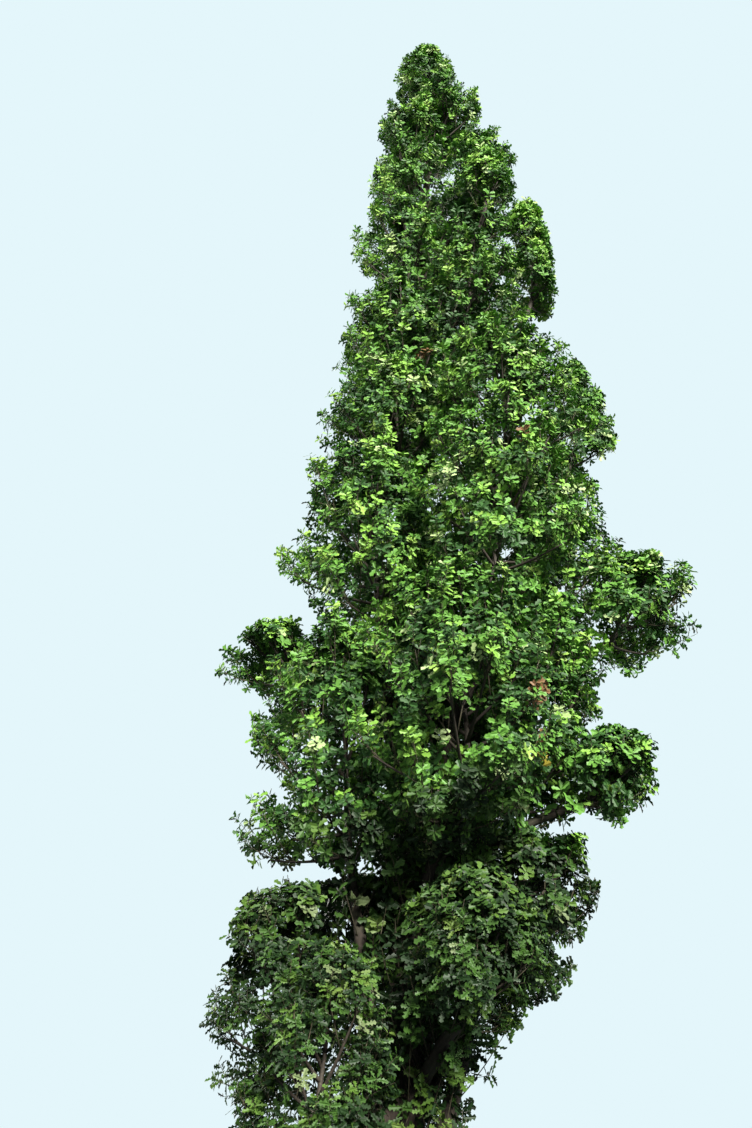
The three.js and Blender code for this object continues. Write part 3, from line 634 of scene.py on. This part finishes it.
def grow(mass):
    """The stem, limbs, twigs and shoots of one mass, each order as an array of points along it. A pointed
    mass has a leader. Where a bough carries the mass, limbs leave its top too, inside the space."""
    stem = even_points(stem_corners(mass), STEM_POINTS)
    if mass.taper > TAPER_UP:
        stem = np.concatenate([stem, leader_of(mass, stem[-1])])
    path = stem
    if mass.rise:
        bough = even_points(bough_corners(mass), BOUGH_POINTS)
        path = np.concatenate([bough[holds(mass, bough)][::BOUGH_STRIDE], stem])
    limbs = grow_limbs(mass, path)
    twigs = branch(mass, limbs, TWIGS)
    if mass.size[0] < SLENDER:
        twigs = np.concatenate([twigs, branch(mass, stem[None], STEM_TWIGS)])
    shoots = branch(mass, twigs, SHOOTS)
    return stem, limbs, twigs, shoots


def grow_inner(masses):
    """The twigs and shoots that the trunk and the boughs carry between the masses, with their space."""
    borne = [mass for mass in masses if mass.rise]
    trunk = trunk_centre(np.linspace(0, TRUNK_LENGTH, TRUNK_POINTS))[None]
    boughs = np.stack([even_points(bough_corners(mass), INNER_BOUGH_POINTS) for mass in borne])
    waist = trunk_centre(np.linspace(*WAIST_STEM, WAIST_POINTS))[None]
    rows = [(TRUNK_SPACE, trunk, TRUNK_TWIGS, INNER_SHOOTS),
            (BOUGH_SPACE, boughs, BOUGH_TWIGS, INNER_SHOOTS),
            (WAIST_SPACE, waist, WAIST_TWIGS, WAIST_SHOOTS)]
    for space, limbs, twig_rule, shoot_rule in rows:
        inner = Mass("inner", *map(np.array, space))
        twigs = branch(inner, limbs, twig_rule)
        yield inner, twigs, branch(inner, twigs, shoot_rule)


def leaf_frames(mass, shoots):
    """Each leaf's root, direction and facing. The leaves crowd towards the shoot's tip and stand round it
    one golden share of a turn apart. Their blades face mostly out of the mass, and partly the way the
    shoot points, so that the crown's side turns its upper leaf faces to the light."""
    count = LEAVES_PER_SHOOT
    shares = FIRST_LEAF + (1 - FIRST_LEAF) * ((np.arange(count) + LEAF_STEP) / count) ** LEAF_CROWDING
    tips = shoots[:, -1]
    roots = shoots[:, 0]
    heading = unit(tips - roots)
    base = roots[:, None] + (tips - roots)[:, None] * shares[None, :, None]
    turn = 2 * np.pi * (rng.random((len(shoots), 1)) + np.arange(count) * GOLDEN_SHARE)
    tilt = rng.uniform(*LEAF_TILT, (len(shoots), count, 1))
    direction = unit(turned_away(heading[:, None], turn[..., None], tilt))
    outward = unit((tips - mass.centre) / mass.size ** 2 * np.array([1, 1, UPWARD_FACING]))
    lean = LEAF_OUTWARD * outward + LEAF_ALONG * heading + LEAF_UP * UP
    lean += rng.normal(0, SPRAY_SCATTER, lean.shape)
    facing = lean[:, None] + rng.normal(0, LEAF_SCATTER, direction.shape)
    facing = unit(facing - direction * np.sum(facing * direction, axis=-1, keepdims=True))
    return base, direction, facing


def leaf_shapes(base, direction, facing, length, outline):
    """Leaf corners: along the midrib x, across it y, and off its plane fold * |y| - curl * x^2."""
    half = np.array(outline)
    across = np.concatenate([[0], half[:, 1], [0], -half[::-1, 1]])
    along = np.concatenate([[0], half[:, 0], [1], half[::-1, 0]])
    fold = LEAF_FOLD * rng.uniform(*FOLD_SPREAD, len(base))[:, None]
    curl = LEAF_CURL * rng.uniform(*CURL_SPREAD, len(base))[:, None]
    off = fold * np.abs(across) - curl * along ** 2
    side = np.cross(facing, direction)
    corners = (direction[:, None] * along[None, :, None] + side[:, None] * across[None, :, None]
               + facing[:, None] * off[..., None])
    return base[:, None] + corners * length[:, None, None]


def leaf_triangles(outline):
    """The triangles of a leaf. On each side of the midrib one fills each lobe, between two notches, and
    one goes from each pair of notches to the leaf's tip."""
    tip = len(outline) + 1
    left = [(tip - 2, tip - 1, tip)]
    for notch in range(0, tip - 2, 2):
        left += [(notch, notch + 1, notch + 2), (notch, notch + 2, tip)]
    left = np.array(left)
    mirrored = (2 * tip - left) % (2 * tip)
    return np.concatenate([left[:, ::-1], mirrored])


def tube_arrays(points, radii, sides):
    """Tubes round many paths at once: rings of points at even angles, then triangles between the rings
    and fans over both ends. points is (tubes, rings, 3), and radii is (tubes, rings), or (tubes, rings,
    sides) where the radius goes by the angle too."""
    tubes, rings = points.shape[:2]
    heading = unit(np.gradient(points, axis=1))
    chord = unit(points[:, -1] - points[:, 0])
    one, _ = crossways(chord)
    one = unit(one[:, None] - heading * np.sum(one[:, None] * heading, axis=-1, keepdims=True))
    other = np.cross(heading, one)
    angle = 2 * np.pi * np.arange(sides) / sides
    round_them = (one[:, :, None] * np.cos(angle)[None, None, :, None]
                  + other[:, :, None] * np.sin(angle)[None, None, :, None])
    vertices = points[:, :, None] + round_them * radii.reshape(tubes, rings, -1, 1)
    ring = np.arange(rings - 1)[:, None] * sides
    here = ring + np.arange(sides)[None]
    there = ring + (np.arange(sides)[None] + 1) % sides
    walls = np.stack([here, there, there + sides, here, there + sides, here + sides], axis=-1)
    fan = np.arange(1, sides - 1)
    foot = np.stack([np.zeros_like(fan), fan + 1, fan], axis=-1)
    head = np.stack([np.zeros_like(fan), fan, fan + 1], axis=-1) + (rings - 1) * sides
    one_tube = np.concatenate([walls.reshape(-1, 3), foot, head])
    triangles = one_tube[None] + np.arange(tubes)[:, None, None] * rings * sides
    return vertices.reshape(-1, 3), triangles.reshape(-1, 3)


def tapered(points, root, tip):
    """Radii that fall evenly from root to tip along each path."""
    share = np.linspace(0, 1, points.shape[1])
    return np.broadcast_to(root + (tip - root) * share, points.shape[:2])


def joined(parts):
    """Several (vertices, triangles) as one."""
    counts = np.cumsum([0] + [len(vertices) for vertices, _ in parts[:-1]])
    vertices = np.concatenate([vertices for vertices, _ in parts])
    triangles = np.concatenate([triangles + start for (_, triangles), start in zip(parts, counts)])
    return vertices, triangles


def add_object(name, data):
    """A new object with its data, in the scene."""
    made = bpy.data.objects.new(name, data)
    bpy.context.scene.collection.objects.link(made)
    return made


def make_piece(name, vertices, triangles, material, slot, nodes, smooth=True):
    """A mesh object from arrays, which rides on the root body and stands for the nodes."""
    mesh = bpy.data.meshes.new(name)
    mesh.vertices.add(len(vertices))
    mesh.vertices.foreach_set("co", np.asarray(vertices, dtype=np.float32).ravel())
    mesh.loops.add(triangles.size)
    mesh.loops.foreach_set("vertex_index", triangles.astype(np.int32).ravel())
    mesh.polygons.add(len(triangles))
    mesh.polygons.foreach_set("loop_start", np.arange(0, triangles.size, 3, dtype=np.int32))
    mesh.polygons.foreach_set("use_smooth", np.full(len(triangles), smooth))
    mesh.update(calc_edges=True)
    mesh.materials.append(material)
    piece = add_object(name, mesh)
    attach(piece, "root")
    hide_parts(*nodes)
    return piece


def linear(hex_colour):
    """An sRGB hex colour as linear red, green, blue and alpha, by the sRGB standard's own curve."""
    srgb = np.array([int(hex_colour[i:i + 2], 16) / 255 for i in (1, 3, 5)])
    rgb = np.where(srgb <= 0.04045, srgb / 12.92, ((srgb + 0.055) / 1.055) ** 2.4)
    return (*rgb.tolist(), 1.0)


def add_node(tree, kind, inputs, **settings):
    """A node with its settings, and its inputs as links from sockets or as values."""
    node = tree.nodes.new(kind)
    for key, value in settings.items():
        setattr(node, key, value)
    for key, value in inputs.items():
        if isinstance(value, bpy.types.NodeSocket):
            tree.links.new(value, node.inputs[key])
        else:
            node.inputs[key].default_value = value
    return node


def new_material(name, roughness):
    """A node material with its finish's roughness, its tree and its shader."""
    material = bpy.data.materials.new(name)
    material.use_nodes = True
    tree = material.node_tree
    shader = tree.nodes["Principled BSDF"]
    shader.inputs["Roughness"].default_value = roughness
    return material, tree, shader


def leaf_material(name, colour, painted_light_factor):
    """Oak leaf: a leathery blade with a waxy skin, so the colour is plain and a soft broad gloss lies on
    it. A fine mottling about 12 mm across stands for veins and small blemishes."""
    material, tree, shader = new_material(name, roughness=0.55)
    # Painted light and shade: the zone's factor darkens the leaf colour low in the crown and lightens it at
    # the top.
    base = painted_light_factor * np.array(linear(colour))
    darker, lighter = ((*(base[:3] * tone).tolist(), 1.0) for tone in LEAF_MOTTLE_TONES)
    place = add_node(tree, "ShaderNodeTexCoord", {})
    noise = add_node(tree, "ShaderNodeTexNoise", {
        "Vector": place.outputs["Object"], "Scale": 1 / LEAF_MOTTLE, "Detail": 2.0})
    mix = add_node(tree, "ShaderNodeMix", {
        "Factor": noise.outputs["Fac"], "A": darker, "B": lighter}, data_type="RGBA")
    tree.links.new(mix.outputs["Result"], shader.inputs["Base Color"])
    shader.inputs["Specular IOR Level"].default_value = 0.3
    return material


def bark_material():
    """Old oak bark: grey-brown ridges between dark furrows, which the mesh has as relief and the
    attribute furrow repeats as 0 in a furrow and 1 on a ridge. Grey-green algae in patches about 0.15 m
    across, and corky grain 6 mm wide and drawn out along the stem. The colours are kept dark overall as
    painted shade."""
    material, tree, shader = new_material("furrowed oak bark", roughness=0.9)
    place = add_node(tree, "ShaderNodeTexCoord", {})
    drawn_out = add_node(tree, "ShaderNodeMapping", {
        "Vector": place.outputs["Object"], "Scale": (1.0, 1.0, GRAIN_DRAWN_OUT)})
    furrow = add_node(tree, "ShaderNodeAttribute", {}, attribute_name="furrow")
    grain = add_node(tree, "ShaderNodeTexNoise", {
        "Vector": drawn_out.outputs["Vector"], "Scale": 1 / BARK_GRAIN, "Detail": 4.0})
    patches = add_node(tree, "ShaderNodeTexNoise", {
        "Vector": place.outputs["Object"], "Scale": 1 / ALGAE_PATCH, "Detail": 3.0})
    depth = add_node(tree, "ShaderNodeMath", {
        0: furrow.outputs["Fac"], 1: grain.outputs["Fac"]}, operation="MULTIPLY")
    ramp = add_node(tree, "ShaderNodeValToRGB", {"Fac": depth.outputs["Value"]})
    # Painted shade: both ramp colours are kept darker than the bark's own, for the shade that the trunk and
    # boughs stand in under the crown.
    ramp.color_ramp.elements[0].position = 0.08
    ramp.color_ramp.elements[0].color = linear("#1c1610")
    ramp.color_ramp.elements[1].position = 0.62
    ramp.color_ramp.elements[1].color = linear("#3a3129")
    algae = add_node(tree, "ShaderNodeMapRange", {
        "Value": patches.outputs["Fac"], "From Min": 0.52, "From Max": 0.68, "To Max": 0.45})
    colour = add_node(tree, "ShaderNodeMix", {
        "Factor": algae.outputs["Result"], "A": ramp.outputs["Color"], "B": linear("#474c36")},
        data_type="RGBA")
    bump = add_node(tree, "ShaderNodeBump", {
        "Height": grain.outputs["Fac"], "Strength": 0.5, "Distance": GRAIN_RELIEF})
    tree.links.new(colour.outputs["Result"], shader.inputs["Base Color"])
    tree.links.new(bump.outputs["Normal"], shader.inputs["Normal"])
    return material


def twig_material(name, dark, light):
    """Young oak bark: smooth and dull, mottled with pale corky specks about 8 mm apart."""
    material, tree, shader = new_material(name, roughness=0.8)
    place = add_node(tree, "ShaderNodeTexCoord", {})
    specks = add_node(tree, "ShaderNodeTexNoise", {
        "Vector": place.outputs["Object"], "Scale": 1 / TWIG_SPECK, "Detail": 3.0})
    ramp = add_node(tree, "ShaderNodeValToRGB", {"Fac": specks.outputs["Fac"]})
    ramp.color_ramp.elements[0].position = 0.35
    ramp.color_ramp.elements[0].color = linear(dark)
    ramp.color_ramp.elements[1].position = 0.68
    ramp.color_ramp.elements[1].color = linear(light)
    tree.links.new(ramp.outputs["Color"], shader.inputs["Base Color"])
    return material


def ridges(angle, along, around):
    """1 on a ridge and 0 in a furrow. A wave of |sin| round the stem, around times, wanders sideways with
    the height by slow sines, and a second wave along the stem cracks the ridges across."""
    wander = sum(size * np.sin(up * along + turns * angle + start)
                 for size, up, turns, start in WANDER_WAVES)
    side = np.abs(np.sin(0.5 * around * angle + wander))
    shift = CRACK_STEP * np.sin(0.5 * around * angle)
    drift, drift_waves = CRACK_DRIFT
    crack = np.abs(np.sin(CRACK_WAVE * along + shift + drift * np.sin(drift_waves * angle)))
    whole = 1 - CRACK_DEPTH + CRACK_DEPTH * np.minimum(1, CRACK_SHARPNESS * crack)
    return np.clip(side ** RIDGE_ROUNDNESS * whole, 0, 1)


def limb_mesh(points, radius_at, relief, sides):
    """A tube along a path whose radius is radius_at(share, angle) less the depth of its furrows. Returns
    its vertices, triangles and, for each vertex, how high it stands between furrow and ridge."""
    angle = 2 * np.pi * np.arange(sides)[None] / sides
    share = np.linspace(0, 1, len(points))[:, None]
    body = radius_at(share, angle)
    around = max(FEWEST_RIDGES, 2 * round(np.pi * body.mean() / FURROW_WIDTH))
    height = ridges(angle, way_along(points)[:, None], around)
    radius = body - relief * np.minimum(1, body / FULL_RELIEF_RADIUS) * (1 - height)
    vertices, triangles = tube_arrays(points[None], radius[None], sides)
    return vertices, triangles, height.ravel()


def add_furrows(piece, heights):
    """The attribute that the bark's colours follow."""
    attribute = piece.data.attributes.new("furrow", "FLOAT", "POINT")
    attribute.data.foreach_set("value", heights.astype(np.float32))


def build_trunk(material):
    """The trunk's centre line and radius, with the rings closest together near the ground."""
    heights = TRUNK_LENGTH * np.linspace(0, 1, TRUNK_RINGS) ** RING_CROWDING
    points = trunk_centre(heights)

    def radius_at(share, angle):
        return trunk_radius(heights[:, None], angle)

    vertices, triangles, ridge = limb_mesh(points, radius_at, FURROW_DEPTH, TRUNK_SIDES)
    vertices[:TRUNK_SIDES, 2] = 0.0  # the lowest ring lies level, on the ground
    piece = make_piece("trunk_bark", vertices, triangles, material, "bark", ["trunk"])
    add_furrows(piece, ridge)


def build_bough(mass, material):
    """A bough from the trunk's centre line to its mass: a taper with sine knobs, and with an exponential
    collar where it leaves the trunk."""
    points = even_points(bough_corners(mass), BOUGH_RINGS)
    root = trunk_radius(points[0, 2]) * BOUGH_ROOT_SHARE
    length = way_along(points)[-1]
    out = np.linalg.norm(points[:, :2] - trunk_centre(points[:, 2])[:, :2], axis=1)
    beyond = np.maximum(out - trunk_radius(points[:, 2]), 0)[:, None]

    def radius_at(share, angle):
        plain = root + (BOUGH_TIP_RADIUS - root) * share ** BOUGH_TAPER
        knobs = 1
        for size, wave, turns in KNOBS:
            knobs = knobs + size * np.sin(wave * share * length + turns * angle)
        return plain * knobs * (1 + COLLAR * np.exp(-beyond / COLLAR_REACH))

    vertices, triangles, ridge = limb_mesh(points, radius_at, BOUGH_FURROW_DEPTH, BOUGH_SIDES)
    nodes = [f"bough_{mass.name}"]
    piece = make_piece(f"bough_bark_{mass.name}", vertices, triangles, material, "bark", nodes)
    add_furrows(piece, ridge)


def deal_tints(mass, shoots):
    """A tint for every spray of leaves: bright ones mostly outside, deep ones inside, low down and in the
    creases between plumes, as painted shade, inside partly also as an oak's darker shade leaves. A few on
    the front are the tints of dead or yellow leaves."""
    outer = np.array([row[2] for row in TINTS])
    inner = np.array([row[3] for row in TINTS])
    tips = shoots[:, -1]
    off = (tips - mass.centre) / mass.size
    depth = np.clip((np.hypot(off[:, 0], off[:, 1]) - INNER_SHARE) / OUTER_BEYOND, 0, 1)[:, None]
    # Painted shade: low down an outer spray's odds turn towards the darker inner ones.
    depth = depth * (1 - SHADE_SHARE * (1 - smoothstep(*SHADED_BELOW, tips[:, 2:])))
    # Painted shade: in a crease between plumes a spray takes the darker inner odds.
    depth = depth * smoothstep(*PLUME_SHADE, plumes(tips))[:, None]
    # The sprays between the masses take the darker inner odds: painted shade, partly also an oak's darker
    # shade leaves.
    if mass.name == "inner":
        depth = np.zeros_like(depth)
    odds = np.cumsum(inner * (1 - depth) + outer * depth, axis=1)
    draw = rng.random((len(shoots), 1)) * odds[:, -1:]
    tint = (draw > odds).sum(axis=1)
    for x, z, turned in TURNED_SPRAYS:
        near = np.hypot(tips[:, 0] - x, tips[:, 2] - z) < TURNED_SPREAD
        tint[near & (tips[:, 1] < FRONT_BEYOND)] = len(TINTS) + turned
    return tint


def leaves_on(mass, shoots):
    """Every leaf on the shoots that fits the mass: its root, direction, facing, length and tint."""
    base, direction, facing = leaf_frames(mass, shoots)
    tint = np.repeat(deal_tints(mass, shoots), LEAVES_PER_SHOOT)
    base, direction, facing = (values.reshape(-1, 3) for values in (base, direction, facing))
    length = LEAF_LENGTH * rng.uniform(*LEAF_LENGTH_SPREAD, len(base))
    if mass.name == "inner":
        length *= SHADE_LEAF
    fits = holds(mass, base + direction * length[:, None], REACH_SLACK)
    return [values[fits] for values in (base, direction, facing, length, tint)]


def zone_of(heights):
    """The number of the zone that each height lies in."""
    return np.searchsorted([high for _, high, _ in ZONES], heights)


def build_leaves(leaves, nodes_by_zone):
    """One mesh of leaves for each tint in each zone."""
    base, direction, facing, length, tint = leaves
    zone = zone_of(base[:, 2])
    for number, (name, colour, *_) in enumerate([*TINTS, *TURNED_TINTS]):
        for k, (zone_name, _, painted_light_factor) in enumerate(ZONES):
            there = (zone == k) & (tint == number)
            if not there.any():
                continue
            finish = leaf_material(f"{name} oak leaf of the {zone_name} crown", colour, painted_light_factor)
            outline = LOW_LEAF if k == 0 else HIGH_LEAF
            corners = leaf_shapes(base[there], direction[there], facing[there], length[there], outline)
            count, around = corners.shape[:2]
            faces = leaf_triangles(outline)[None] + around * np.arange(count)[:, None, None]
            make_piece(f"leaves_{name}_{zone_name}", corners.reshape(-1, 3), faces.reshape(-1, 3),
                       finish, "leaves", nodes_by_zone[k], smooth=False)


def build_foliage(masses):
    """Grows every mass, and joins what grew: stems and limbs, twigs, and leaves by tint and zone."""
    limbs_by_zone = [[] for _ in ZONES]
    twigs_by_zone = [[] for _ in ZONES]
    nodes_by_zone = [[] for _ in ZONES]
    leaves = []

    def add_twigs(mass, twigs, shoots):
        for sticks, radii in ((twigs, TWIG_RADIUS), (shoots[:, [0, -1]], SHOOT_RADIUS)):
            zone = zone_of(sticks[:, 0, 2])
            for k in range(len(ZONES)):
                there = sticks[zone == k]
                if len(there):
                    twigs_by_zone[k].append(tube_arrays(there, tapered(there, *radii), TWIG_SIDES))
        leaves.append(leaves_on(mass, shoots))

    for mass in masses:
        zone = int(zone_of(mass.centre[2]))
        nodes_by_zone[zone].append(f"foliage_{mass.name}")
        stem, limbs, twigs, shoots = grow(mass)
        stem = stem[None]
        limbs_by_zone[zone].append(tube_arrays(stem, tapered(stem, *STEM_RADIUS), STEM_SIDES))
        limbs_by_zone[zone].append(tube_arrays(limbs, tapered(limbs, *LIMB_RADIUS), LIMB_SIDES))
        add_twigs(mass, twigs, shoots)
    for growth in grow_inner(masses):
        add_twigs(*growth)
    limb_bark = twig_material("smooth limb bark", "#1f1a13", "#3b3328")
    twig_bark = twig_material("young twig bark", "#2a2618", "#4a4530")
    for k, (zone_name, *_) in enumerate(ZONES):
        nodes = nodes_by_zone[k]
        make_piece(f"limbs_{zone_name}", *joined(limbs_by_zone[k]), limb_bark, "bark", nodes)
        make_piece(f"twigs_{zone_name}", *joined(twigs_by_zone[k]), twig_bark, "bark", nodes)
    build_leaves([np.concatenate(values) for values in zip(*leaves)], nodes_by_zone)


def build_camera():
    """The camera that fits the photograph: it looks steeply up the tree from in front of it."""
    pitch, turn, roll = np.radians([PITCH, TURN, ROLL])
    forward = np.array([-np.sin(turn) * np.cos(pitch), np.cos(turn) * np.cos(pitch), np.sin(pitch)])
    level = np.array([np.cos(turn), np.sin(turn), 0.0])
    upright = np.cross(level, forward)
    right = np.cos(roll) * level + np.sin(roll) * upright
    up = np.cos(roll) * upright - np.sin(roll) * level
    camera = bpy.data.cameras.new("photo_camera")
    camera.sensor_width = SENSOR
    camera.lens = SENSOR * FOCAL_PIXELS / max(PHOTO_WIDTH, PHOTO_HEIGHT)
    camera.clip_end = CLIP_END
    seat = add_object("photo_camera", camera)
    rows = np.stack([right, up, -forward, EYE], axis=1)
    seat.matrix_world = Matrix([*rows.tolist(), [0, 0, 0, 1]])
    bpy.context.scene.camera = seat


def build_studio():
    """A pale floor, a pale surround and two soft lights."""
    for name, azimuth, elevation, strength, softness in LIGHTS:
        light = bpy.data.lights.new(name, "SUN")
        light.energy = strength
        light.angle = np.radians(softness)
        light.color = LIGHT_COLOUR
        lamp = add_object(name, light)
        lamp.rotation_euler = np.radians((90 - elevation, 0, azimuth + 90))
    world = bpy.data.worlds.new("pale surround")
    world.use_nodes = True
    tree = world.node_tree
    background = tree.nodes["Background"]
    background.inputs["Color"].default_value = linear(SURROUND)
    path = add_node(tree, "ShaderNodeLightPath", {})
    strength = add_node(tree, "ShaderNodeMapRange", {
        "Value": path.outputs["Is Camera Ray"], "To Min": SURROUND_LIGHTING, "To Max": SURROUND_SHOWN})
    tree.links.new(strength.outputs["Result"], background.inputs["Strength"])
    bpy.context.scene.world = world
    half = FLOOR_SIDE / 2
    floor_mesh = bpy.data.meshes.new("floor")
    corners = [(-half, -half, 0), (half, -half, 0), (half, half, 0), (-half, half, 0)]
    floor_mesh.from_pydata(corners, [], [(0, 1, 2, 3)])
    material, _, shader = new_material("pale matt floor", roughness=0.95)
    shader.inputs["Base Color"].default_value = linear(FLOOR_COLOUR)
    floor_mesh.materials.append(material)
    floor = add_object("floor", floor_mesh)
    floor.location = (0, 0, -FLOOR_DROP)
    # The floor shows its paleness but sends no light up under the crown, where shade would lie outdoors.
    floor.visible_diffuse = False
    floor.visible_glossy = False
    bpy.context.scene.view_settings.view_transform = "Standard"


def build_oak():
    """The whole tree."""
    masses = lay_out_masses()
    share_space(masses)
    for mass in masses:
        keep_off_trunk(mass)
    bark = bark_material()
    build_trunk(bark)
    for mass in masses:
        if mass.rise:
            build_bough(mass, bark)
    build_foliage(masses)


build_camera()
build_studio()
build_oak()
